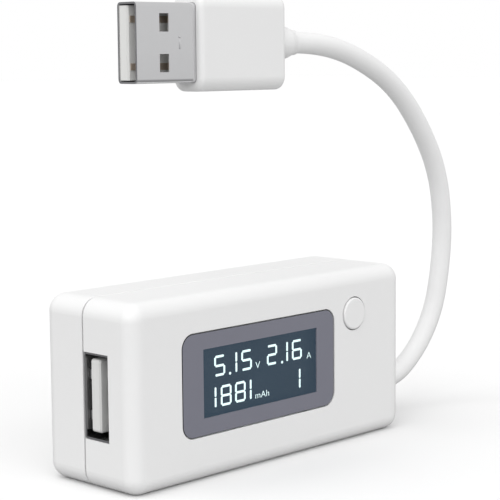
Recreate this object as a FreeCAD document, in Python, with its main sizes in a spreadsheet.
import FreeCAD, Part
import math
import os
import re

from FreeCAD import Vector

import Sketcher

# USB power meter: a snap-together case with a display, a button, a USB socket and a corded plug.
# X runs along the case from the socket end to the cord end, Y from the display face to the back,
# Z up. The origin is at the middle of the case's underside. All lengths are in millimetres.

DIMENSIONS = [
    # Case
    ("case_length", 62.0, "case along X"),
    ("case_depth", 19.8, "case along Y"),
    ("case_height", 28.6, "case along Z"),
    ("corner_radius", 2.7, "four corners seen from the display side"),
    ("edge_radius", 2.3, "rounding of the display face and of the back"),
    ("wall", 1.5, "walls of the front shell, and the back wall"),
    ("back_wall", 2.3, "side walls of the back cover, thick enough to carry the lip"),
    ("inner_radius", 1.2, "corners of the cavities"),
    ("seam_place", 0.9, "Y of the seam between the two shells"),
    ("seam_gap", 0.3, "reveal between the two rims"),
    ("seam_bevel", 0.12, "bevel on each rim"),
    ("lip_height", 1.2, "how far the back cover's lip enters the front shell"),
    ("lip_clearance", 0.1, "gap between the lip and the front shell"),
    ("bite", 0.2, "how far a feature reaches into the next, or a cut runs past a face"),
    ("hook_spacing", 30.0, "distance between the snap hooks along X"),
    ("hook_width", 4.0, "width of a snap hook"),
    ("hook_reach", 0.35, "how far a hook stands out of the lip"),
    ("hook_back", 0.45, "back of a hook behind the origin"),
    ("hook_long", 0.5, "hook along Y"),
    ("hook_root", 0.2, "hook inside the lip it grows from"),
    ("hook_play", 0.2, "gap at each side of a hook in its pocket"),
    # Display window and the display behind it
    ("window_width", 34.1, "window plate along X"),
    ("window_height", 15.7, "window plate along Z"),
    ("window_radius", 2.1, "corners of the window plate"),
    ("window_x", -3.74, "window centre"),
    ("window_z", 14.95, "window centre"),
    ("window_gap", 0.22, "gap round the window plate"),
    ("window_drop", 0.05, "window face below the case face"),
    ("window_thick", 0.85, "window plate"),
    ("border_thick", 0.2, "printed film on the window"),
    ("view_width", 25.65, "clear opening of the printed film along X"),
    ("view_height", 10.6, "clear opening of the printed film along Z"),
    ("print_x", -3.65, "centre of the opening in the printed film"),
    ("print_z", 14.96, "centre of the opening in the printed film"),
    ("view_x", -2.87, "display centre"),
    ("view_z", 14.75, "display centre"),
    ("ledge_width", 29.6, "opening behind the window along X"),
    ("ledge_height", 12.7, "opening behind the window along Z"),
    ("glass_width", 29.2, "display glass along X"),
    ("glass_height", 12.3, "front display glass along Z"),
    ("glass_tail", 2.3, "rear glass below the front glass, for its contacts"),
    ("glass_thick", 0.7, "one display glass"),
    ("film_thick", 0.2, "one polariser"),
    ("film_inset", 0.3, "glass edge left bare round a polariser"),
    ("display_front", 8.7, "front polariser's distance in front of the origin"),
    ("guide_width", 28.6, "light guide along X"),
    ("guide_thick", 1.5, "light guide"),
    ("reflector_thick", 0.1, "reflector film"),
    ("frame_width", 32.6, "display frame along X"),
    ("frame_height", 16.8, "display frame along Z"),
    ("frame_floor", 0.3, "floor of the display frame"),
    ("frame_leg_left", 12.6, "left legs of the display frame from the display centre"),
    ("frame_leg_right", 14.7, "right legs of the display frame from the display centre"),
    ("frame_leg_wide", 2.0, "leg of the display frame along X"),
    ("frame_leg_high", 1.4, "leg of the display frame along Z"),
    ("lamp_place", 0.6, "lamp centre past the end of the light guide's pocket"),
    ("lamp_spread", 3.2, "lamps from the display's centre line"),
    ("lamp_wide", 1.1, "lamp along X"),
    ("lamp_deep", 1.35, "lamp along Y"),
    ("lamp_high", 3.0, "lamp along Z"),
    ("lamp_play", 0.2, "gap beside a lamp in the frame"),
    ("lamp_leg", 0.3, "lamp leg, square"),
    ("lamp_leg_spread", 0.9, "lamp legs from the lamp's middle"),
    ("lcd_pin_wide", 0.4, "display pin along X"),
    ("lcd_pin_thick", 0.3, "display pin along Z"),
    ("lcd_pin_level", 5.95, "Z of the display pins"),
    ("lcd_clip_high", 1.3, "clip of a display pin on the rear glass"),
    ("fit_gap", 0.1, "gap between a part and its pocket"),
    # Button and switch
    ("button_x", 18.43, "button centre"),
    ("button_z", 21.44, "button centre"),
    ("button_diameter", 5.3, "button cap"),
    ("button_gap", 0.18, "gap round the button cap"),
    ("button_proud", 0.3, "cap above the case face"),
    ("button_edge", 0.3, "rounding of the cap"),
    ("button_flange", 7.0, "flange that keeps the cap in"),
    ("flange_thick", 0.8, "flange of the cap"),
    ("stem_diameter", 3.0, "stem behind the cap"),
    ("switch_size", 6.0, "switch body, square"),
    ("switch_depth", 3.2, "switch body above the board"),
    ("switch_cover_thick", 0.3, "metal cover of the switch"),
    ("switch_well", 4.8, "round well in the switch body"),
    ("switch_well_deep", 1.35, "depth of the switch's well"),
    ("dome_thick", 0.1, "rim of the switch's dome"),
    ("dome_crown", 2.2, "raised middle of the dome"),
    ("dome_rise", 0.25, "height of the dome's middle"),
    ("terminal_high", 0.7, "switch terminal along Z"),
    ("terminal_spread", 2.25, "switch terminals from the switch's middle"),
    ("terminal_foot", 1.2, "switch terminal on the board"),
    ("terminal_thick", 0.2, "switch terminal beside the switch"),
    ("plunger_diameter", 3.4, "switch plunger"),
    ("plunger_flange", 4.4, "flange of the plunger under the metal cover"),
    ("plunger_flange_thick", 0.6, "flange of the plunger"),
    ("plunger_tip", 5.0, "plunger tip's distance in front of the origin"),
    ("touch_gap", 0.05, "gap between touching moving parts"),
    # Board
    ("board_front", 0.95, "Y of the board's front face"),
    ("board_thick", 1.2, "circuit board"),
    ("board_length", 56.8, "circuit board along X"),
    ("board_height", 23.4, "circuit board along Z"),
    ("notch_length", 2.4, "notch in the board beside the cord"),
    ("notch_height", 6.8, "notch in the board beside the cord"),
    ("post_left", 26.5, "board posts on the socket side"),
    ("post_right", 26.2, "upper board post on the cord side"),
    ("post_low_right", 20.0, "lower board post on the cord side"),
    ("post_low", 4.9, "Z of the lower posts"),
    ("post_high", 23.7, "Z of the upper posts"),
    ("post_front_diameter", 2.4, "posts of the front shell"),
    ("post_back_diameter", 3.0, "posts of the back cover"),
    ("hole_diameter", 0.9, "holes in the board"),
    ("wire_pad_place", 24.0, "X where the cord's wires are soldered"),
    ("wire_pad_low", 3.9, "Z of the lowest soldered wire"),
    ("wire_pad_pitch", 2.2, "soldered wires along Z"),
    # USB socket
    ("socket_y", -2.12, "centre of the socket"),
    ("socket_z", 14.17, "centre of the socket"),
    ("socket_mouth_low", 4.74, "front edge of the mouth in front of the origin"),
    ("socket_mouth_height", 13.17, "mouth along Z"),
    ("socket_mouth_wall", 0.12, "wall left in front of the socket"),
    ("socket_thick", 5.7, "socket shell along Y"),
    ("socket_wide", 13.1, "socket shell along Z"),
    ("socket_long", 13.4, "socket shell along X"),
    ("socket_corner", 0.45, "corners of the socket shell"),
    ("socket_leg_place", -22.0, "X of the socket's two legs"),
    ("socket_leg_wide", 1.6, "leg of the socket along X"),
    ("socket_leg_tail", 1.5, "leg of the socket above the shell's back"),
    ("leg_slot_long", 2.0, "slot in the board for a leg, along X"),
    ("leg_slot_wide", 0.7, "slot in the board for a leg, along Z"),
    ("sheet_metal", 0.3, "shell plate"),
    ("tongue_wide", 11.1, "socket tongue along Z"),
    ("tongue_thick", 2.1, "socket tongue along Y"),
    ("tongue_back", 0.16, "back face of the tongue in front of the origin"),
    ("tongue_drop", 0.6, "tip of the tongue behind the end face"),
    ("block_long", 3.0, "block that carries the tongue"),
    ("tongue_corner", 0.5, "corners of the tongue's tip"),
    ("tongue_bevel", 0.25, "bevel round the tongue's tip"),
    ("contact_outer", 1.6, "outer contacts behind the tongue's tip"),
    ("contact_inner", 2.4, "inner contacts behind the tongue's tip"),
    ("socket_pin_place", -16.6, "X where the socket's contacts are soldered"),
    ("tail_thick", 0.2, "tail of a contact along X"),
    ("tail_wide", 0.5, "tail of a contact along Z"),
    ("pin_wide", 1.0, "USB contact along Z"),
    ("pin_thick", 0.15, "USB contact plate"),
    ("pin_outer", 3.5, "outer USB contacts from the centre line"),
    ("pin_inner", 1.0, "inner USB contacts from the centre line"),
    # Cord and its outlet in the case
    ("cord_diameter", 3.5, "outside of the cord"),
    ("cord_z", 5.0, "height of the cord outlet"),
    ("neck_diameter", 3.9, "strain relief in the case wall"),
    ("collar_diameter", 4.6, "strain relief against the case"),
    ("collar_tip", 4.0, "strain relief at the cord"),
    ("collar_length", 2.4, "strain relief outside the case"),
    ("flange_diameter", 5.4, "strain relief inside the case"),
    ("flange_length", 1.2, "strain relief inside the case"),
    ("wire_diameter", 0.7, "one insulated wire"),
    # Plug, measured from its tip
    ("plug_x", -23.1, "tip of the plug"),
    ("plug_y", -1.4, "tip of the plug"),
    ("plug_z", 66.0, "tip of the plug"),
    ("plug_yaw", -4.0, "turn of the plug about Z in degrees"),
    ("plug_wide", 12.0, "plug shell along Z"),
    ("plug_thick", 4.5, "plug shell along Y"),
    ("plug_exposed", 11.35, "plug shell outside its housing"),
    ("plug_buried", 6.0, "plug shell inside its housing"),
    ("plug_corner", 0.65, "corners of the plug shell"),
    ("plug_window_long", 1.75, "windows of the plug shell along X"),
    ("plug_window_high", 2.7, "windows of the plug shell along Z"),
    ("plug_window_place", 5.2, "window centre from the tip"),
    ("plug_window_side", 3.0, "window centre from the centre line"),
    ("insulator_thick", 1.85, "plug insulator"),
    ("insulator_wide", 11.0, "plug insulator along Z"),
    ("insulator_drop", 0.12, "insulator behind the tip"),
    ("insulator_long", 15.5, "plug insulator"),
    ("insulator_block", 12.5, "start of the insulator's full block from the tip"),
    ("insulator_block_long", 3.0, "full block of the insulator"),
    ("insulator_bevel", 0.3, "bevel on the insulator's front edge above its contacts"),
    ("plug_contact_outer", 0.6, "outer plug contacts behind the tip"),
    ("plug_contact_inner", 2.1, "inner plug contacts behind the tip"),
    ("plug_contact_end", 17.0, "end of the plug's contacts from the tip"),
    ("housing_long", 17.75, "plug housing"),
    ("housing_wide", 14.8, "plug housing along Z"),
    ("housing_thick", 7.0, "plug housing along Y"),
    ("housing_side", 2.1, "long edges of the plug housing"),
    ("housing_end", 0.9, "end edges of the plug housing"),
    ("housing_wall", 1.6, "end wall of the plug housing"),
    ("housing_cavity_wide", 11.0, "hollow of the plug housing along Z"),
    ("housing_cavity_thick", 4.0, "hollow of the plug housing along Y"),
    ("plug_collar", 5.4, "plug strain relief at the housing"),
    ("plug_collar_waist", 5.1, "strain relief where it starts to narrow"),
    ("plug_collar_long", 2.6, "wide part of the plug's strain relief"),
    ("plug_taper_long", 1.45, "narrowing part of the plug's strain relief"),
    ("plug_ring_long", 0.55, "end ring of the plug's strain relief"),
    ("relief_key_thick", 3.8, "strain relief in the hollow of the housing along Y"),
    ("relief_key_wide", 7.0, "strain relief in the hollow of the housing along Z"),
    ("plug_neck", 3.6, "plug strain relief in the housing wall"),
]

# The cord's route, from the plug's strain relief to the case's, chosen as a loose loop.
CORD_ROUTE = [
    (10.52, -3.75, 66.0),
    (15.86, -4.13, 66.0),
    (25.3, -4.0, 64.0),
    (36.2, -3.6, 59.2),
    (44.2, -3.1, 52.0),
    (50.8, -2.4, 43.2),
    (53.5, -1.7, 33.4),
    (53.7, -1.0, 24.7),
    (52.5, -0.3, 16.4),
    (48.0, 0.4, 9.4),
    (41.2, 0.9, 5.0),
    (33.4, 0.9, 5.0),
]

# The cord's wires in the case: a row in the strain relief, a short straight run, then a bend down
# to the board's front face.
WIRES = ("red_wire", "white_wire", "green_wire", "black_wire")
WIRE_SPREAD = 0.9
WIRE_FORWARD = 0.55
WIRE_STRAIGHT = 1.6
WIRE_BEND_Y = -1.3

# The wires in the plug, from its contacts to the strain relief.
PLUG_WIRE_STRAIGHT = 2.0
PLUG_WIRE_SPREAD = 0.8
LCD_PINS = 12
LCD_PIN_PITCH = 2.0
SOLDER_HEIGHT = 0.6
PIN_SOLDER = ("1.3", "0.5")
LEG_SOLDER = ("2.2", "1.2")

# The packages' sides along X, Y and Z, and where their middles stand on the board, as (x, z).
PACKAGES = {
    "controller": (12.8, 2.1, 7.4),
    "memory": (4.9, 1.5, 3.9),
    "regulator": (4.5, 1.5, 4.0),
    "shunt": (6.4, 0.6, 3.2),
    "capacitor": (2.0, 1.2, 1.25),
    "resistor": (1.6, 0.45, 0.8),
}
CONTROLLER_PLACE = (4.0, 14.0)
MEMORY_PLACE = (-9.0, 11.0)
REGULATOR_PLACE = (17.5, 9.0)
SHUNT_PLACE = (-10.5, 20.5)
CAPACITOR_PLACES = [(-4.6, 22.0), (-1.4, 22.0), (13.5, 6.5), (21.6, 13.6), (13.6, 19.4), (-5.0, 7.2)]
RESISTOR_PITCH = 2.4
RESISTOR_PLACES = [(RESISTOR_PITCH * number + 1.6, 22.4) for number in range(4)]
RESISTOR_PLACES += [(RESISTOR_PITCH * number + 0.4, 7.4) for number in range(4)]

# Gull-wing leads: how many in a row, their pitch and their section.
CONTROLLER_LEADS = 10
MEMORY_LEADS = 4
LEAD_PITCH = 1.27
LEAD_WIDE = 0.3
LEAD_THICK = 0.2
LEAD_HIGH = 0.8
LEAD_FOOT = 0.15
LEAD_REACH = 0.9
LEAD_LIFT = 0.1

doc = FreeCAD.newDocument("usb_power_meter")
sheet = doc.addObject("Spreadsheet::Sheet", "Dimensions")
for row, (alias, value, meaning) in enumerate(DIMENSIONS, start=1):
    sheet.set(f"A{row}", meaning)
    sheet.set(f"B{row}", str(value))
    sheet.setAlias(f"B{row}", alias)
doc.recompute()

ALIASES = {alias: value for alias, value, meaning in DIMENSIONS}
ALIAS_PATTERN = re.compile(r"\b(" + "|".join(sorted(ALIASES, key=len, reverse=True)) + r")\b")
nodes = {}


def size(alias):
    """The value of one cell of the sheet."""
    return float(sheet.get(alias))


def bind(target, prop, formula):
    """Drive a property from the sheet; a formula uses the cells' aliases."""
    target.setExpression(prop, ALIAS_PATTERN.sub(r"Dimensions.\1", str(formula)))


def keep(label, thing):
    """Give a sub-part its name and put it on the list of pieces to write."""
    thing.Label = label
    nodes[label] = thing
    return thing


# ---------------------------------------------------------------- helpers for bodies


def new_body(label):
    """An empty body for one sub-part."""
    return keep(label, doc.addObject("PartDesign::Body", label))


def new_sketch(body, name, plane, centre, level):
    """A sketch on an origin plane, moved to a centre in that plane and to a level along its normal.

    XZ_Plane faces -Y, so its level is a distance in front of the origin; YZ_Plane faces +X.
    """
    sketch = body.newObject("Sketcher::SketchObject", name)
    origin_plane = [item for item in body.Origin.OriginFeatures if item.Role == plane][0]
    sketch.AttachmentSupport = [(origin_plane, "")]
    sketch.MapMode = "FlatFace"
    bind(sketch, "AttachmentOffset.Base.x", centre[0])
    bind(sketch, "AttachmentOffset.Base.y", centre[1])
    bind(sketch, "AttachmentOffset.Base.z", level)
    return sketch


def add_rectangle(sketch, width, height, name="outer"):
    """A rectangle centred on the sketch's origin, with both sides bound to the sheet."""
    half = 5.0 if name == "outer" else 3.0
    corners = [Vector(-half, -half, 0), Vector(half, -half, 0), Vector(half, half, 0), Vector(-half, half, 0)]
    first = sketch.GeometryCount
    for index in range(4):
        sketch.addGeometry(Part.LineSegment(corners[index], corners[(index + 1) % 4]), False)
    for index in range(4):
        here = first + index
        after = first + (index + 1) % 4
        sketch.addConstraint(Sketcher.Constraint("Coincident", here, 2, after, 1))
    sketch.addConstraint(Sketcher.Constraint("Horizontal", first))
    sketch.addConstraint(Sketcher.Constraint("Horizontal", first + 2))
    sketch.addConstraint(Sketcher.Constraint("Vertical", first + 1))
    sketch.addConstraint(Sketcher.Constraint("Vertical", first + 3))
    sketch.addConstraint(Sketcher.Constraint("Symmetric", first, 1, first + 2, 1, -1, 1))
    for label, line, kind, formula in (
        ("width", first, "DistanceX", width),
        ("height", first + 1, "DistanceY", height),
    ):
        index = sketch.addConstraint(Sketcher.Constraint(kind, line, 1, line, 2, 2 * half))
        sketch.renameConstraint(index, f"{name}_{label}")
        bind(sketch, f"Constraints.{name}_{label}", formula)


def add_circle(sketch, diameter):
    """A circle on the sketch's origin."""
    circle = sketch.addGeometry(Part.Circle(Vector(0, 0, 0), Vector(0, 0, 1), 2.0), False)
    sketch.addConstraint(Sketcher.Constraint("Coincident", circle, 3, -1, 1))
    index = sketch.addConstraint(Sketcher.Constraint("Diameter", circle, 4.0))
    sketch.renameConstraint(index, "diameter")
    bind(sketch, "Constraints.diameter", diameter)


def feature(body, kind, sketch, length, backwards):
    """A pad or a pocket of a bound length."""
    result = body.newObject(f"PartDesign::{kind}", f"{kind}_{len(body.Group)}")
    result.Profile = sketch
    result.Reversed = backwards
    bind(result, "Length", length)
    sketch.Visibility = False
    return result


def pad_rectangle(body, plane, width, height, centre, level, length, backwards=False):
    """Add a block that grows along the plane's normal, or against it when backwards."""
    sketch = new_sketch(body, f"outline_{len(body.Group)}", plane, centre, level)
    add_rectangle(sketch, width, height)
    return feature(body, "Pad", sketch, length, backwards)


def pocket_rectangle(body, plane, width, height, centre, level, length, backwards=False):
    """Cut a block against the plane's normal, or along it when backwards."""
    sketch = new_sketch(body, f"opening_{len(body.Group)}", plane, centre, level)
    add_rectangle(sketch, width, height)
    return feature(body, "Pocket", sketch, length, backwards)


def pad_circle(body, plane, diameter, centre, level, length, backwards=False):
    """Add a round boss."""
    sketch = new_sketch(body, f"circle_{len(body.Group)}", plane, centre, level)
    add_circle(sketch, diameter)
    return feature(body, "Pad", sketch, length, backwards)


def pocket_circle(body, plane, diameter, centre, level, length, backwards=False):
    """Cut a round hole."""
    sketch = new_sketch(body, f"hole_{len(body.Group)}", plane, centre, level)
    add_circle(sketch, diameter)
    return feature(body, "Pocket", sketch, length, backwards)


def edge_names(base, wanted):
    """The names of the edges of a feature that pass a test."""
    doc.recompute()
    return [f"Edge{number}" for number, edge in enumerate(base.Shape.Edges, start=1) if wanted(edge)]


def dress(body, kind, base, wanted, amount):
    """A fillet or a chamfer on the edges that pass a test."""
    names = edge_names(base, wanted)
    result = body.newObject(f"PartDesign::{kind}", f"{kind}_{len(body.Group)}")
    result.Base = (base, names)
    bind(result, "Radius" if kind == "Fillet" else "Size", amount)
    doc.recompute()
    return result


def along(axis, inside=None):
    """A test for straight edges along an axis whose middle passes a second test."""

    def test(edge):
        box = edge.BoundBox
        spans = (box.XLength, box.YLength, box.ZLength)
        straight = all(span < 1e-6 for number, span in enumerate(spans) if number != axis)
        middle = Vector(box.Center)
        return straight and spans[axis] > 1e-6 and (inside is None or inside(middle))

    return test


def in_plane(axis, place, inside=None):
    """A test for edges that lie in a plane square to an axis."""

    def test(edge):
        box = edge.BoundBox
        low = (box.XMin, box.YMin, box.ZMin)[axis]
        high = (box.XMax, box.YMax, box.ZMax)[axis]
        flat = abs(low - place) < 1e-4 and abs(high - place) < 1e-4
        return flat and (inside is None or inside(Vector(box.Center)))

    return test


# ---------------------------------------------------------------- helpers for primitives


def block(name, sides, corner):
    """A Part::Box with bound sides and lowest corner."""
    box = doc.addObject("Part::Box", name)
    for prop, formula in zip(("Length", "Width", "Height"), sides):
        bind(box, prop, formula)
    for letter, formula in zip("xyz", corner):
        bind(box, f"Placement.Base.{letter}", formula)
    return box


def round_bar(name, diameter, length, start, axis):
    """A Part::Cylinder that starts at a point and runs along +X or +Y."""
    turns = {"x": (Vector(0, 1, 0), 90), "y": (Vector(1, 0, 0), -90)}
    bar = doc.addObject("Part::Cylinder", name)
    bind(bar, "Radius", f"({diameter}) / 2")
    bind(bar, "Height", length)
    bar.Placement = FreeCAD.Placement(Vector(), FreeCAD.Rotation(*turns[axis]))
    for letter, formula in zip("xyz", start):
        bind(bar, f"Placement.Base.{letter}", formula)
    return bar


def cone(name, diameters, length, start, axis):
    """A Part::Cone that starts at a point and runs along +X or +Y."""
    turns = {"x": (Vector(0, 1, 0), 90), "y": (Vector(1, 0, 0), -90)}
    shape = doc.addObject("Part::Cone", name)
    bind(shape, "Radius1", f"({diameters[0]}) / 2")
    bind(shape, "Radius2", f"({diameters[1]}) / 2")
    bind(shape, "Height", length)
    shape.Placement = FreeCAD.Placement(Vector(), FreeCAD.Rotation(*turns[axis]))
    for letter, formula in zip("xyz", start):
        bind(shape, f"Placement.Base.{letter}", formula)
    return shape


def fuse(name, pieces):
    """One solid from several that touch."""
    joined = doc.addObject("Part::MultiFuse", name)
    joined.Shapes = pieces
    return joined


def group(label, pieces):
    """Several separate solids kept as one sub-part."""
    compound = doc.addObject("Part::Compound", label)
    compound.Links = pieces
    return keep(label, compound)


def plate(label, width, height, thick, centre, front):
    """A flat sheet square to Y; front is its front face's distance in front of the origin."""
    corner = (
        f"({centre[0]}) - ({width}) / 2",
        f"-({front})",
        f"({centre[1]}) - ({height}) / 2",
    )
    return block(label, (width, thick, height), corner)


# ---------------------------------------------------------------- helpers for routes


def rounded_path(points):
    """Straight runs joined by tangent arcs; each radius is 0.45 of the shorter run over tan(half turn)."""
    points = [Vector(*point) for point in points]
    edges = []
    radii = []
    start = points[0]
    for before, here, after in zip(points, points[1:], points[2:]):
        into = here - before
        out = after - here
        setback = 0.45 * min(into.Length, out.Length)
        half_turn = into.getAngle(out) / 2
        into.normalize()
        out.normalize()
        first = here - into * setback
        last = here + out * setback
        radius = setback / math.tan(half_turn)
        bisector = out - into
        bisector.normalize()
        middle = here + bisector * (radius / math.cos(half_turn) - radius)
        edges.append(Part.LineSegment(start, first).toShape())
        edges.append(Part.Arc(first, middle, last).toShape())
        radii.append(radius)
        start = last
    edges.append(Part.LineSegment(start, points[-1]).toShape())
    return Part.Wire(edges), radii


def tube(path, diameter):
    """A round solid swept along a path."""
    start = path.Edges[0].Vertexes[0].Point
    direction = path.Edges[0].tangentAt(path.Edges[0].FirstParameter)
    section = Part.Wire(Part.makeCircle(diameter / 2, start, direction))
    return path.makePipeShell([section], True, False)


def routed(label, points, diameter):
    """A sub-part that follows a route."""
    path, radii = rounded_path(points)
    piece = doc.addObject("Part::Feature", label)
    piece.Shape = tube(path, diameter)
    expected = math.pi * diameter * diameter / 4 * path.Length
    print(label, "radii", [round(radius, 2) for radius in radii])
    print(label, "length", round(path.Length, 2), "volume ratio", round(piece.Shape.Volume / expected, 4))
    return keep(label, piece)


# ---------------------------------------------------------------- case

BOARD_POSTS = (
    ("-post_left", "post_low"),
    ("-post_left", "post_high"),
    ("post_right", "post_high"),
    ("post_low_right", "post_low"),
)
CASE_CENTRE = ("0", "case_height / 2")
SOCKET_ON_END = ("socket_y", "socket_z")
CORD_ON_END = ("seam_place", "cord_z")
FRONT_RIM = "seam_gap / 2 - seam_place"
BACK_RIM = "-seam_place - seam_gap / 2"


def round_case_half(body, base, face_y, rim_y):
    """Round the four corners and the outer face, and bevel the rim."""
    half_x = size("case_length") / 2
    wall = size("wall")
    corners = dress(body, "Fillet", base, along(1), "corner_radius")
    face = dress(body, "Fillet", corners, in_plane(1, face_y), "edge_radius")

    def on_outside(middle):
        near_end = abs(abs(middle.x) - half_x) < wall
        near_top = middle.z > size("case_height") - wall
        return near_end or near_top or middle.z < wall

    return dress(body, "Chamfer", face, in_plane(1, rim_y, on_outside), "seam_bevel")


def make_front_shell():
    """The display half: a moulded tray, open towards the back."""
    body = new_body("front_shell")
    reach = "case_depth / 2 + seam_place - seam_gap / 2"
    solid = pad_rectangle(body, "XZ_Plane", "case_length", "case_height", CASE_CENTRE, FRONT_RIM, reach)
    rim_y = size("seam_place") - size("seam_gap") / 2
    round_case_half(body, solid, -size("case_depth") / 2, rim_y)
    cavity = pocket_rectangle(
        body,
        "XZ_Plane",
        "case_length - 2 * wall",
        "case_height - 2 * wall",
        CASE_CENTRE,
        FRONT_RIM,
        f"{reach} - wall",
        backwards=True,
    )
    inner_x = size("case_length") / 2 - size("wall")

    def in_cavity_corner(middle):
        return abs(abs(middle.x) - inner_x) < 0.01

    dress(body, "Fillet", cavity, along(1, in_cavity_corner), "inner_radius")
    window = ("window_x", "window_z")
    recess = pocket_rectangle(
        body,
        "XZ_Plane",
        "window_width + 2 * window_gap",
        "window_height + 2 * window_gap",
        window,
        "case_depth / 2",
        "window_drop + window_thick + border_thick",
    )
    edge_x = size("window_x") - size("window_width") / 2 - size("window_gap")
    far_x = size("window_x") + size("window_width") / 2 + size("window_gap")

    def at_recess(middle):
        return min(abs(middle.x - edge_x), abs(middle.x - far_x)) < 0.01

    dress(body, "Fillet", recess, along(1, at_recess), "window_radius + window_gap")
    view = ("view_x", "view_z")
    pocket_rectangle(body, "XZ_Plane", "ledge_width", "ledge_height", view, "case_depth / 2", "wall + bite")
    button = ("button_x", "button_z")
    hole = "button_diameter + 2 * button_gap"
    pocket_circle(body, "XZ_Plane", hole, button, "case_depth / 2", "wall + bite")
    mouth_width = "seam_place + socket_mouth_low"
    mouth = ("(seam_place - socket_mouth_low) / 2", "socket_z")
    end = "-case_length / 2"
    pocket_rectangle(
        body, "YZ_Plane", mouth_width, "socket_mouth_height", mouth, end, "wall + bite", backwards=True
    )
    seat = ("(seam_place + socket_y - socket_thick / 2 - fit_gap) / 2", "socket_z")
    pocket_rectangle(
        body,
        "YZ_Plane",
        "seam_place - socket_y + socket_thick / 2 + fit_gap",
        "socket_wide + 2 * fit_gap",
        seat,
        f"{end} + socket_mouth_wall",
        "wall",
        backwards=True,
    )
    pocket_circle(
        body, "YZ_Plane", "neck_diameter + fit_gap", CORD_ON_END, "case_length / 2", "wall + bite"
    )
    for place in BOARD_POSTS:
        length = "case_depth / 2 - wall + board_front + bite"
        pad_circle(body, "XZ_Plane", "post_front_diameter", place, "-board_front", length)
    pocket_high = "hook_reach + fit_gap"
    for side in ("-1", "1"):
        for level in (f"wall - ({pocket_high}) / 2", f"case_height - wall + ({pocket_high}) / 2"):
            pocket_rectangle(
                body,
                "XZ_Plane",
                "hook_width + 2 * hook_play",
                pocket_high,
                (f"{side} * hook_spacing / 2", level),
                "hook_long - hook_back + fit_gap",
                "hook_long + 1.5 * fit_gap",
            )
    return body


def make_back_cover():
    """The back half: a tray with a lip that enters the front shell and snaps into it."""
    body = new_body("back_cover")
    reach = "case_depth / 2 - seam_place - seam_gap / 2"
    solid = pad_rectangle(
        body, "XZ_Plane", "case_length", "case_height", CASE_CENTRE, "-case_depth / 2", reach
    )
    rim_y = size("seam_place") + size("seam_gap") / 2
    round_case_half(body, solid, size("case_depth") / 2, rim_y)
    inside = ("case_length - 2 * back_wall", "case_height - 2 * back_wall")
    pocket_rectangle(body, "XZ_Plane", inside[0], inside[1], CASE_CENTRE, BACK_RIM, f"{reach} - wall")
    lip = new_sketch(body, "lip_outline", "XZ_Plane", CASE_CENTRE, BACK_RIM)
    thin = "2 * wall - 2 * lip_clearance"
    add_rectangle(lip, f"case_length - {thin}", f"case_height - {thin}")
    add_rectangle(lip, inside[0], inside[1], "inner")
    raised = feature(body, "Pad", lip, "lip_height + seam_gap", False)
    outer_x = size("case_length") / 2 - size("wall") - size("lip_clearance")

    def at_lip_corner(middle):
        return abs(abs(middle.x) - outer_x) < 0.01

    dress(body, "Fillet", raised, along(1, at_lip_corner), "inner_radius")
    hook_level = "case_height / 2 - wall - lip_clearance + (hook_reach - hook_root) / 2"
    for side in ("-1", "1"):
        for up in ("-1", "1"):
            centre = (f"{side} * hook_spacing / 2", f"case_height / 2 + {up} * ({hook_level})")
            sides = ("hook_width", "hook_reach + hook_root")
            pad_rectangle(body, "XZ_Plane", *sides, centre, "-hook_back", "hook_long")
    pocket_rectangle(
        body,
        "YZ_Plane",
        "seam_place + seam_gap / 2 + socket_mouth_low",
        "socket_wide + 4 * fit_gap",
        ("(seam_place + seam_gap / 2 - socket_mouth_low) / 2", "socket_z"),
        "-case_length / 2",
        "back_wall + 2 * bite",
        backwards=True,
    )
    neck = "neck_diameter + fit_gap"
    pocket_circle(body, "YZ_Plane", neck, CORD_ON_END, "case_length / 2", "back_wall + bite")
    pocket_circle(
        body,
        "YZ_Plane",
        "flange_diameter + 2 * fit_gap",
        CORD_ON_END,
        "case_length / 2 - wall",
        "flange_length + fit_gap + 2 * bite",
    )
    for place in BOARD_POSTS:
        length = "case_depth / 2 - wall - board_front - board_thick + bite"
        pad_circle(body, "XZ_Plane", "post_back_diameter", place, "wall - case_depth / 2 - bite", length)
    return body


def make_window():
    """The clear window plate on its ledge, and the printed film on the plate's face."""
    place = ("window_x", "window_z")
    outline = ("window_width", "window_height")
    face = "case_depth / 2 - window_drop"
    film_back = f"{face} - border_thick"
    body = new_body("display_window")
    solid = pad_rectangle(
        body, "XZ_Plane", *outline, place, f"{film_back} - window_thick", "window_thick"
    )
    dress(body, "Fillet", solid, along(1), "window_radius")

    film = new_body("window_border")
    solid = pad_rectangle(film, "XZ_Plane", *outline, place, film_back, "border_thick")
    dress(film, "Fillet", solid, along(1), "window_radius")
    opening = ("print_x", "print_z")
    pocket_rectangle(film, "XZ_Plane", "view_width", "view_height", opening, face, "2 * border_thick")


# ---------------------------------------------------------------- display


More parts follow.
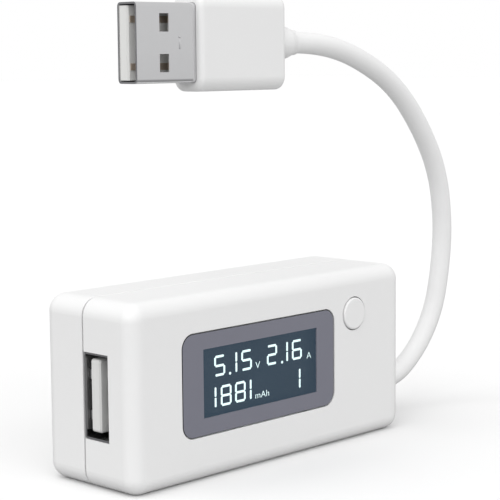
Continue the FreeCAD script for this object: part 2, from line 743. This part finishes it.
def make_display():
    """The glass sandwich, its light guide and the frame that stands on the board."""
    view = ("view_x", "view_z")
    film = ("glass_width - 2 * film_inset", "glass_height - 2 * film_inset")
    front = "display_front"
    keep("lcd_front_polariser", plate("lcd_front_polariser", *film, "film_thick", view, front))
    front += " - film_thick"
    glass = plate("lcd_front_glass", "glass_width", "glass_height", "glass_thick", view, front)
    keep("lcd_front_glass", glass)
    front += " - glass_thick"
    low = ("view_x", "view_z - glass_tail / 2")
    rear = plate("lcd_rear_glass", "glass_width", "glass_height + glass_tail", "glass_thick", low, front)
    keep("lcd_rear_glass", rear)
    front += " - glass_thick"
    keep("lcd_rear_polariser", plate("lcd_rear_polariser", *film, "film_thick", view, front))
    rim = front
    front += " - film_thick"
    guide = plate("light_guide", "guide_width", "glass_height", "guide_thick", view, front)
    keep("light_guide", guide)
    front += " - guide_thick"
    mirror = plate("backlight_reflector", "guide_width", "glass_height", "reflector_thick", view, front)
    keep("backlight_reflector", mirror)
    front += " - reflector_thick"

    frame = new_body("lcd_frame")
    depth = f"{rim} - ({front}) + frame_floor"
    pad_rectangle(frame, "XZ_Plane", "frame_width", "frame_height", view, f"{front} - frame_floor", depth)
    tray = ("guide_width + 2 * fit_gap", "glass_height + 2 * fit_gap")
    pocket_rectangle(frame, "XZ_Plane", *tray, view, rim, f"{depth} - frame_floor")
    lamp_x = "view_x + guide_width / 2 + fit_gap + lamp_place"
    for side in ("-1", "1"):
        place = (lamp_x, f"view_z + {side} * lamp_spread")
        hole = ("lamp_wide + 2 * lamp_play", "lamp_high + lamp_play")
        pocket_rectangle(frame, "XZ_Plane", *hole, place, rim, f"{depth} + bite")
    leg = ("frame_leg_wide", "frame_leg_high")
    for leg_x in ("view_x - frame_leg_left", "view_x + frame_leg_right"):
        for side in ("-1", "1"):
            place = (leg_x, f"view_z + {side} * (frame_height - frame_leg_high - touch_gap) / 2")
            length = f"{front} - frame_floor / 2 + board_front"
            pad_rectangle(frame, "XZ_Plane", *leg, place, "-board_front", length)

    lamps = []
    lamp_back = f"-({front}) - fit_gap"
    for number, side in enumerate(("-1", "1")):
        lamp_z = f"view_z + {side} * lamp_spread"
        corner = (f"{lamp_x} - lamp_wide / 2", f"{lamp_back} - lamp_deep", f"{lamp_z} - lamp_high / 2")
        lamp = block(f"lamp_{number}", ("lamp_wide", "lamp_deep", "lamp_high"), corner)
        legs = []
        for leg, turn in enumerate(("-1", "1")):
            foot_z = f"{lamp_z} + {turn} * lamp_leg_spread - lamp_leg / 2"
            foot = (f"{lamp_x} - lamp_leg / 2", lamp_back, foot_z)
            sides = ("lamp_leg", f"board_front + {front} + fit_gap", "lamp_leg")
            legs.append(block(f"lamp_leg_{number}_{leg}", sides, foot))
        lamps.append(fuse(f"lamp_fused_{number}", [lamp] + legs))
    group("backlight_leds", lamps)

    pins = []
    rod_start = "film_thick + glass_thick - display_front - bite"
    rod_sides = ("lcd_pin_wide", f"board_front + board_thick - ({rod_start})", "lcd_pin_thick")
    for number in range(LCD_PINS):
        offset = (number - (LCD_PINS - 1) / 2) * LCD_PIN_PITCH
        left = f"view_x + {offset} - lcd_pin_wide / 2"
        rod = block(f"lcd_rod_{number}", rod_sides, (left, rod_start, "lcd_pin_level - lcd_pin_thick / 2"))
        clip_corner = (left, rod_start, "lcd_pin_level + lcd_pin_thick / 2")
        clip = block(f"lcd_clip_{number}", ("lcd_pin_wide", "bite", "lcd_clip_high"), clip_corner)
        pins.append(fuse(f"lcd_pin_{number}", [rod, clip]))
    group("lcd_pins", pins)


# ---------------------------------------------------------------- board and what it carries


def lcd_pin_places():
    """Where the display's pins pass through the board."""
    places = []
    for number in range(LCD_PINS):
        offset = (number - (LCD_PINS - 1) / 2) * LCD_PIN_PITCH
        places.append((f"view_x + {offset}", "lcd_pin_level"))
    return places


def socket_pin_places():
    """Where the socket's contacts pass through the board."""
    sides = ("-pin_outer", "-pin_inner", "pin_inner", "pin_outer")
    return [("socket_pin_place", f"socket_z + {side}") for side in sides]


def wire_places():
    """Where the cord's wires are soldered to the board."""
    return [("wire_pad_place", f"wire_pad_low + {number} * wire_pad_pitch") for number in range(len(WIRES))]


def socket_leg_places():
    """Where the socket's two legs pass through the board."""
    reach = "(socket_wide - sheet_metal) / 2"
    return [("socket_leg_place", f"socket_z + {side} * {reach}") for side in ("-1", "1")]


def make_board():
    """The circuit board, with its notch, its holes and the slots for the socket's legs."""
    body = new_body("circuit_board")
    level = "-board_front - board_thick"
    pad_rectangle(body, "XZ_Plane", "board_length", "board_height", CASE_CENTRE, level, "board_thick")
    corner = ("board_length / 2 - notch_length / 2", "case_height / 2 - board_height / 2 + notch_height / 2")
    notch = ("notch_length", "notch_height")
    pocket_rectangle(body, "XZ_Plane", *notch, corner, "-board_front", "board_thick")
    for place in lcd_pin_places() + socket_pin_places():
        pocket_circle(body, "XZ_Plane", "hole_diameter", place, "-board_front", "board_thick")
    for place in socket_leg_places():
        pocket_rectangle(
            body, "XZ_Plane", "leg_slot_long", "leg_slot_wide", place, "-board_front", "board_thick"
        )


def chip(name, package, centre, lift=0.0):
    """A package on the back of the board, lifted off it where it stands on leads."""
    sides = PACKAGES[package]
    corner = (
        f"{centre[0] - sides[0] / 2}",
        f"board_front + board_thick + {lift}",
        f"{centre[1] - sides[2] / 2}",
    )
    return block(name, [str(side) for side in sides], corner)


def lead_rows(name, count, span, centre):
    """Two rows of gull-wing leads for a package centred on a place of the board's back."""
    leads = []
    board_back = "board_front + board_thick"
    for number in range(count):
        offset = (number - (count - 1) / 2) * LEAD_PITCH
        for side in (-1, 1):
            inner = span / 2
            leg_z = inner if side > 0 else -inner - LEAD_THICK
            foot_z = inner if side > 0 else -inner - LEAD_REACH
            x = f"{centre[0] + offset - LEAD_WIDE / 2}"
            leg = block(
                f"{name}_leg_{number}_{side + 1}",
                (str(LEAD_WIDE), str(LEAD_HIGH), str(LEAD_THICK)),
                (x, board_back, f"{centre[1] + leg_z}"),
            )
            foot = block(
                f"{name}_foot_{number}_{side + 1}",
                (str(LEAD_WIDE), str(LEAD_FOOT), str(LEAD_REACH)),
                (x, board_back, f"{centre[1] + foot_z}"),
            )
            leads.append(fuse(f"{name}_lead_{number}_{side + 1}", [leg, foot]))
    return leads


def chips(kind, places):
    """Several packages of one kind."""
    return [chip(f"{kind}_{number}", kind, place) for number, place in enumerate(places)]


def make_electronics():
    """The packages on the back of the board."""
    keep("microcontroller", chip("microcontroller", "controller", CONTROLLER_PLACE, LEAD_LIFT))
    keep("memory_chip", chip("memory_chip", "memory", MEMORY_PLACE, LEAD_LIFT))
    leads = lead_rows("controller", CONTROLLER_LEADS, PACKAGES["controller"][2], CONTROLLER_PLACE)
    leads += lead_rows("memory", MEMORY_LEADS, PACKAGES["memory"][2], MEMORY_PLACE)
    group("chip_leads", leads)
    keep("voltage_regulator", chip("voltage_regulator", "regulator", REGULATOR_PLACE))
    keep("shunt_resistor", chip("shunt_resistor", "shunt", SHUNT_PLACE))
    group("capacitors", chips("capacitor", CAPACITOR_PLACES))
    group("resistors", chips("resistor", RESISTOR_PLACES))

    joints = []
    back = "board_front + board_thick"
    high = str(SOLDER_HEIGHT)
    for number, place in enumerate(lcd_pin_places() + socket_pin_places() + wire_places()):
        start = (place[0], back, place[1])
        joints.append(cone(f"solder_{number}", PIN_SOLDER, high, start, "y"))
    for number, place in enumerate(socket_leg_places()):
        start = (place[0], back, place[1])
        joints.append(cone(f"solder_leg_{number}", LEG_SOLDER, high, start, "y"))
    group("solder_joints", joints)


def make_switch():
    """The tactile switch under the button: body, cover, plunger, dome and terminals."""
    place = ("button_x", "button_z")
    top = "switch_depth - board_front"
    body = new_body("switch_body")
    pad_rectangle(body, "XZ_Plane", "switch_size", "switch_size", place, "-board_front", "switch_depth")
    pocket_circle(body, "XZ_Plane", "switch_well", place, top, "switch_well_deep")

    cover = new_body("switch_cover")
    pad_rectangle(cover, "XZ_Plane", "switch_size", "switch_size", place, top, "switch_cover_thick")
    face = f"{top} + switch_cover_thick"
    pocket_circle(cover, "XZ_Plane", "plunger_diameter + fit_gap", place, face, "switch_cover_thick")

    plunger = new_body("switch_plunger")
    low = f"{top} - touch_gap - plunger_flange_thick"
    pad_circle(plunger, "XZ_Plane", "plunger_flange", place, low, "plunger_flange_thick")
    pad_circle(plunger, "XZ_Plane", "plunger_diameter", place, low, f"plunger_tip - ({low})")

    dome = new_body("switch_dome")
    floor = f"{top} - switch_well_deep"
    pad_circle(dome, "XZ_Plane", "plunger_flange", place, floor, "dome_thick")
    pad_circle(dome, "XZ_Plane", "dome_crown", place, f"{floor} + dome_thick", "dome_rise")

    terminals = []
    edge = "(switch_size / 2 + terminal_thick / 2)"
    leg_sides = ("terminal_thick", "terminal_foot", "terminal_high")
    foot_sides = ("terminal_foot", "pin_thick", "terminal_high")
    for side in (-1, 1):
        for up in (-1, 1):
            leg_x = f"button_x + {side} * {edge} - terminal_thick / 2"
            foot_x = f"button_x + {side} * (switch_size + terminal_foot) / 2 - terminal_foot / 2"
            row_z = f"button_z + {up} * terminal_spread - terminal_high / 2"
            name = f"terminal_{side + 1}_{up + 1}"
            leg = block(f"{name}_leg", leg_sides, (leg_x, "board_front - terminal_foot", row_z))
            foot = block(f"{name}_foot", foot_sides, (foot_x, "board_front - pin_thick", row_z))
            terminals.append(fuse(name, [leg, foot]))
    group("switch_terminals", terminals)


def make_button():
    """The cap: a round face, a flange that keeps it in, and a stem that meets the switch."""
    body = new_body("button_cap")
    place = ("button_x", "button_z")
    inner = "case_depth / 2 - wall - touch_gap"
    face = pad_circle(
        body, "XZ_Plane", "button_diameter", place, inner, "wall + touch_gap + button_proud"
    )
    front = -size("case_depth") / 2 - size("button_proud")
    dress(body, "Fillet", face, in_plane(1, front), "button_edge")
    pad_circle(body, "XZ_Plane", "button_flange", place, f"{inner} - flange_thick", "flange_thick")
    stem_end = "plunger_tip + touch_gap"
    length = f"{inner} - flange_thick - ({stem_end})"
    pad_circle(body, "XZ_Plane", "stem_diameter", place, stem_end, length)


# ---------------------------------------------------------------- USB socket


def make_socket():
    """The USB-A socket: a plated shell, the tongue on its block and four contacts."""
    start = "-case_length / 2 + socket_mouth_wall + touch_gap"
    outline = ("socket_thick", "socket_wide")
    shell = new_body("usb_socket_shell")
    solid = pad_rectangle(shell, "YZ_Plane", *outline, SOCKET_ON_END, start, "socket_long")
    dress(shell, "Fillet", solid, along(0), "socket_corner")
    inner = ("socket_thick - 2 * sheet_metal", "socket_wide - 2 * sheet_metal")
    pocket_rectangle(shell, "YZ_Plane", *inner, SOCKET_ON_END, start, "socket_long", backwards=True)
    board_back = "board_front + board_thick"
    reach = f"{board_back} - socket_y - socket_thick / 2 + socket_leg_tail"
    for place in socket_leg_places():
        level = f"-({board_back})"
        pad_rectangle(shell, "XZ_Plane", "socket_leg_wide", "sheet_metal", place, level, reach)

    tongue = new_body("usb_socket_tongue")
    block_outline = [f"{side} - fit_gap" for side in inner]
    block_start = f"{start} + socket_long - block_long"
    length = "block_long - bite"
    pad_rectangle(tongue, "YZ_Plane", *block_outline, SOCKET_ON_END, block_start, length)
    tip = "-case_length / 2 + tongue_drop"
    blade = pad_rectangle(
        tongue,
        "YZ_Plane",
        "tongue_thick",
        "tongue_wide",
        ("-tongue_back - tongue_thick / 2", "socket_z"),
        tip,
        f"{block_start} - ({tip}) + bite",
    )
    tip_x = -size("case_length") / 2 + size("tongue_drop")

    def at_tip_corner(edge):
        return along(1)(edge) and abs(edge.BoundBox.Center.x - tip_x) < 0.01

    rounded = dress(tongue, "Fillet", blade, at_tip_corner, "tongue_corner")
    dress(tongue, "Chamfer", rounded, in_plane(0, tip_x), "tongue_bevel")

    contacts = []
    face = "-tongue_back - tongue_thick"
    tail_sides = ("tail_thick", f"{board_back} - ({face})", "tail_wide")
    for number, side in enumerate(("-pin_outer", "-pin_inner", "pin_inner", "pin_outer")):
        strip_start = f"{tip} + {'contact_outer' if number in (0, 3) else 'contact_inner'}"
        strip = block(
            f"socket_strip_{number}",
            (f"socket_pin_place - ({strip_start})", "pin_thick", "pin_wide"),
            (strip_start, f"{face} - pin_thick", f"socket_z + {side} - pin_wide / 2"),
        )
        tail_corner = ("socket_pin_place - tail_thick / 2", face, f"socket_z + {side} - tail_wide / 2")
        tail = block(f"socket_tail_{number}", tail_sides, tail_corner)
        contacts.append(fuse(f"socket_contact_{number}", [strip, tail]))
    group("usb_socket_contacts", contacts)


# ---------------------------------------------------------------- cord, its ends and the plug


def make_cord():
    """The cord, the strain relief in the case and the four wires behind it."""
    outside = "case_length / 2"
    neck_start = f"{outside} - wall - fit_gap"
    flange_corner = (f"{neck_start} - flange_length", *CORD_ON_END)
    flange = round_bar("relief_flange", "flange_diameter", "flange_length", flange_corner, "x")
    neck_corner = (neck_start, *CORD_ON_END)
    neck = round_bar("relief_neck", "neck_diameter", "wall + fit_gap", neck_corner, "x")
    diameters = ("collar_diameter", "collar_tip")
    collar = cone("relief_collar", diameters, "collar_length", (outside, *CORD_ON_END), "x")
    keep("cord_strain_relief", fuse("cord_strain_relief", [flange, neck, collar]))
    routed("cord", CORD_ROUTE, size("cord_diameter"))

    inner_x = size("case_length") / 2 - size("wall") - size("fit_gap") - size("flange_length")
    start_y = size("seam_place") - WIRE_FORWARD
    for number, label in enumerate(WIRES):
        start_z = size("cord_z") + (number - (len(WIRES) - 1) / 2) * WIRE_SPREAD
        pad_x = size("wire_pad_place")
        pad_z = size("wire_pad_low") + number * size("wire_pad_pitch")
        route = [
            (inner_x, start_y, start_z),
            (inner_x - WIRE_STRAIGHT, start_y, start_z),
            (pad_x, WIRE_BEND_Y, pad_z),
            (pad_x, size("board_front"), pad_z),
        ]
        routed(label, route, size("wire_diameter"))


def place_on_plug(body):
    """Stand a piece that is modelled from the plug's tip in its real place."""
    bind(
        body,
        "Placement",
        "placement(vector(plug_x; plug_y; plug_z); rotation(vector(0; 0; 1); plug_yaw))",
    )


def make_plug_shell(centre):
    """The plated shell with its two windows on each broad side."""
    shell = new_body("plug_shell")
    length = "plug_exposed + plug_buried"
    solid = pad_rectangle(shell, "YZ_Plane", "plug_thick", "plug_wide", centre, "0", length)
    dress(shell, "Fillet", solid, along(0), "plug_corner")
    inner = ("plug_thick - 2 * sheet_metal", "plug_wide - 2 * sheet_metal")
    hollow = pocket_rectangle(shell, "YZ_Plane", *inner, centre, "0", length, backwards=True)
    inner_z = size("plug_wide") / 2 - size("sheet_metal")

    def in_hollow(middle):
        return abs(abs(middle.z) - inner_z) < 0.01

    dress(shell, "Fillet", hollow, along(0, in_hollow), "plug_corner - sheet_metal")
    window = ("plug_window_long", "plug_window_high")
    for side in ("-1", "1"):
        place = ("plug_window_place", f"{side} * plug_window_side")
        pocket_rectangle(shell, "XZ_Plane", *window, place, "plug_thick", "2 * plug_thick")
    place_on_plug(shell)


def make_plug_inside(centre):
    """The insulator against one broad side, and the four contacts on it."""
    insulator = new_body("plug_insulator")
    back_y = "(plug_thick / 2 - sheet_metal - touch_gap)"
    blade_centre = (f"{back_y} - insulator_thick / 2", "0")
    blade = pad_rectangle(
        insulator,
        "YZ_Plane",
        "insulator_thick",
        "insulator_wide",
        blade_centre,
        "insulator_drop",
        "insulator_long",
    )
    contact_side = size("plug_thick") / 2 - size("insulator_thick")

    def above_contacts(middle):
        return middle.y < contact_side

    front_edge = in_plane(0, size("insulator_drop"), above_contacts)
    dress(insulator, "Chamfer", blade, front_edge, "insulator_bevel")
    full = (f"2 * {back_y}", "insulator_wide")
    pad_rectangle(insulator, "YZ_Plane", *full, centre, "insulator_block", "insulator_block_long")
    place_on_plug(insulator)

    contacts = []
    contact_y = f"{back_y} - insulator_thick - pin_thick"
    for number, side in enumerate(("-pin_outer", "-pin_inner", "pin_inner", "pin_outer")):
        start = "plug_contact_outer" if number in (0, 3) else "plug_contact_inner"
        corner = (start, contact_y, f"{side} - pin_wide / 2")
        sides = (f"plug_contact_end - {start}", "pin_thick", "pin_wide")
        contacts.append(block(f"plug_contact_{number}", sides, corner))
    place_on_plug(group("plug_contacts", contacts))


def make_plug_housing(centre):
    """The moulded housing: a rounded block with a pocket for the shell and a hollow for the wires."""
    housing = new_body("plug_housing")
    outline = ("housing_thick", "housing_wide")
    solid = pad_rectangle(housing, "YZ_Plane", *outline, centre, "plug_exposed", "housing_long")
    sides = dress(housing, "Fillet", solid, along(0), "housing_side")
    ends = (size("plug_exposed"), size("plug_exposed") + size("housing_long"))

    def at_either_end(edge):
        return in_plane(0, ends[0])(edge) or in_plane(0, ends[1])(edge)

    dress(housing, "Fillet", sides, at_either_end, "housing_end")
    seat = ("plug_thick + 2 * touch_gap", "plug_wide + 2 * touch_gap")
    depth = "plug_buried + touch_gap"
    pocket = pocket_rectangle(housing, "YZ_Plane", *seat, centre, "plug_exposed", depth, backwards=True)
    seat_z = size("plug_wide") / 2 + size("touch_gap")

    def in_seat(middle):
        return abs(abs(middle.z) - seat_z) < 0.01

    dress(housing, "Fillet", pocket, along(0, in_seat), "plug_corner + touch_gap")
    hollow = ("housing_cavity_thick", "housing_cavity_wide")
    start = "plug_exposed + plug_buried"
    depth = "housing_long - plug_buried - housing_wall"
    pocket_rectangle(housing, "YZ_Plane", *hollow, centre, start, depth, backwards=True)
    tail = "plug_exposed + housing_long"
    pocket_circle(housing, "YZ_Plane", "plug_neck + fit_gap", centre, tail, "housing_wall + bite")
    place_on_plug(housing)


def make_plug_relief():
    """The strain relief: a key in the hollow, a neck in the wall, a tapered collar and an end ring."""
    tail = "plug_exposed + housing_long"
    neck_start = f"{tail} - housing_wall - fit_gap"
    key_sides = ("flange_length", "relief_key_thick", "relief_key_wide")
    key_corner = (f"{neck_start} - flange_length", "-relief_key_thick / 2", "-relief_key_wide / 2")
    key = block("plug_relief_key", key_sides, key_corner)
    neck_length = "housing_wall + fit_gap"
    neck = round_bar("plug_relief_neck", "plug_neck", neck_length, (neck_start, "0", "0"), "x")
    wide = ("plug_collar", "plug_collar_waist")
    collar = cone("plug_relief_collar", wide, "plug_collar_long", (tail, "0", "0"), "x")
    taper_start = f"{tail} + plug_collar_long"
    narrow = ("plug_collar_waist", "collar_tip")
    taper = cone("plug_relief_taper", narrow, "plug_taper_long", (taper_start, "0", "0"), "x")
    ring_start = f"{taper_start} + plug_taper_long"
    ring = round_bar("plug_relief_ring", "collar_tip", "plug_ring_long", (ring_start, "0", "0"), "x")
    relief = fuse("plug_strain_relief", [key, neck, collar, taper, ring])
    place_on_plug(keep("plug_strain_relief", relief))


def make_plug_wires():
    """Four wires from the contacts to the strain relief, in the housing's hollow."""
    wires = []
    relief_gap = size("flange_length") + size("fit_gap")
    housing_end = size("plug_exposed") + size("housing_long")
    wire_end = housing_end - size("housing_wall") - relief_gap
    wall_and_blade = size("sheet_metal") + size("touch_gap") + size("insulator_thick")
    contact_y = size("plug_thick") / 2 - wall_and_blade - size("pin_thick") / 2
    start = size("plug_contact_end")
    pin_places = (-size("pin_outer"), -size("pin_inner"), size("pin_inner"), size("pin_outer"))
    for number, pin_z in enumerate(pin_places):
        end_z = PLUG_WIRE_SPREAD * (number - 1.5)
        route = [
            (start, contact_y, pin_z),
            (start + PLUG_WIRE_STRAIGHT, contact_y, pin_z),
            (wire_end - PLUG_WIRE_STRAIGHT, 0.0, end_z),
            (wire_end, 0.0, end_z),
        ]
        path, radii = rounded_path(route)
        wire = doc.addObject("Part::Feature", f"plug_wire_{number}")
        wire.Shape = tube(path, size("wire_diameter"))
        wires.append(wire)
    place_on_plug(group("plug_wires", wires))


def make_plug():
    """The USB-A plug, modelled along +X from its tip, then placed."""
    centre = ("0", "0")
    make_plug_shell(centre)
    make_plug_inside(centre)
    make_plug_housing(centre)
    make_plug_relief()
    make_plug_wires()


make_front_shell()
make_back_cover()
make_window()
make_display()
make_board()
make_electronics()
make_switch()
make_button()
make_socket()
make_cord()
make_plug()
doc.recompute()

for item in doc.Objects:
    if "Invalid" in item.State or "Error" in item.State:
        raise RuntimeError(f"{item.Label} failed: {item.State}")
for label, item in nodes.items():
    if item.Shape.isNull() or not item.Shape.isValid() or not item.Shape.Solids:
        raise RuntimeError(f"{label} has no valid solid")

os.makedirs("parts", exist_ok=True)
for label, item in nodes.items():
    item.Shape.exportStep(f"parts/{label}.step")
    box = item.Shape.BoundBox
    low = [round(value, 2) for value in (box.XMin, box.YMin, box.ZMin)]
    high = [round(value, 2) for value in (box.XMax, box.YMax, box.ZMax)]
    print(label, len(item.Shape.Solids), "solids", round(item.Shape.Volume, 2), low, high)
print(len(nodes), "sub-parts")
